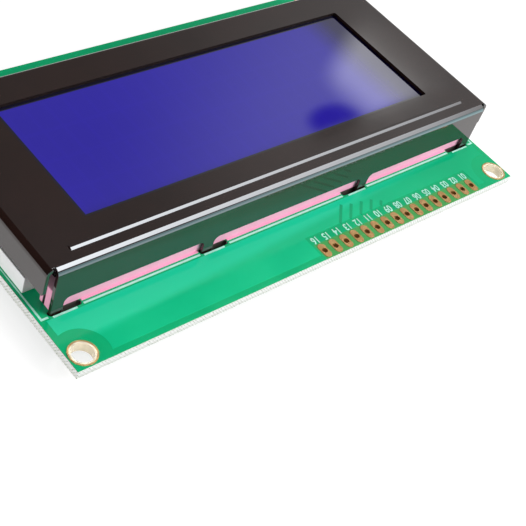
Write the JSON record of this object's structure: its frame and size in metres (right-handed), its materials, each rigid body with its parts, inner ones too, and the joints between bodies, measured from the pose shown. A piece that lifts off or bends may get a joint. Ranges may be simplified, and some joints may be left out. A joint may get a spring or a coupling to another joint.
{
  "type": "character lcd module",
  "caption": "Character LCD module: a green circuit board with a row of header pads carries a blue display cell and its backlight under a folded black steel bezel.",
  "frame": {"origin": "centre of the four mounting holes, on the back face of the circuit board", "axes": "display upright: +X to the right along the long side, +Y up towards the header pads, +Z out of the display towards the viewer"},
  "size_m": [0.098, 0.06, 0.0132],
  "materials": {
    "solder_mask": "green solder mask on glass-epoxy laminate, satin gloss",
    "gold_plating": "thin gold plating",
    "copper_plating": "gold-flashed copper",
    "black_enamel": "glossy black-brown enamel on folded steel sheet",
    "polarizer_film": "glossy violet-blue polarizer",
    "cell_glass": "clear soda-lime glass",
    "cell_sealant": "cured sealant",
    "pink_elastomer": "soft pink silicone",
    "white_plastic": "white moulded plastic",
    "clear_acrylic": "clear acrylic with a diffusing back",
    "diffuser_sheet": "white optical film",
    "strip_laminate": "white strip laminate",
    "led_resin": "yellow phosphor resin",
    "tinned_lead": "tinned wire",
    "solder": "bright solder",
    "black_resin": "black encapsulating resin",
    "resistor_body": "black-glazed ceramic chip",
    "capacitor_body": "tan ceramic chip"
  },
  "bodies": {
    "root": {"circuit_board": "solder_mask", "mounting_hole_rings": "gold_plating", "header_pads": "copper_plating", "bezel": "black_enamel", "front_polarizer": "polarizer_film", "front_glass": "cell_glass", "cell_seal": "cell_sealant", "rear_glass": "cell_glass", "rear_polarizer": "polarizer_film", "zebra_strip_header_side": "pink_elastomer", "zebra_strip_far_side": "pink_elastomer", "backlight_frame": "white_plastic", "light_guide": "clear_acrylic", "diffuser_film": "diffuser_sheet", "reflector_film": "diffuser_sheet", "led_strip_board": "strip_laminate", "backlight_leds": "led_resin", "backlight_anode_lead": "tinned_lead", "backlight_cathode_lead": "tinned_lead", "lead_solder_joints": "solder", "controller_cap": "black_resin", "segment_driver_cap_middle": "black_resin", "segment_driver_cap_left": "black_resin", "chip_resistors": "resistor_body", "chip_capacitors": "capacitor_body"}
  },
  "joints": []
}
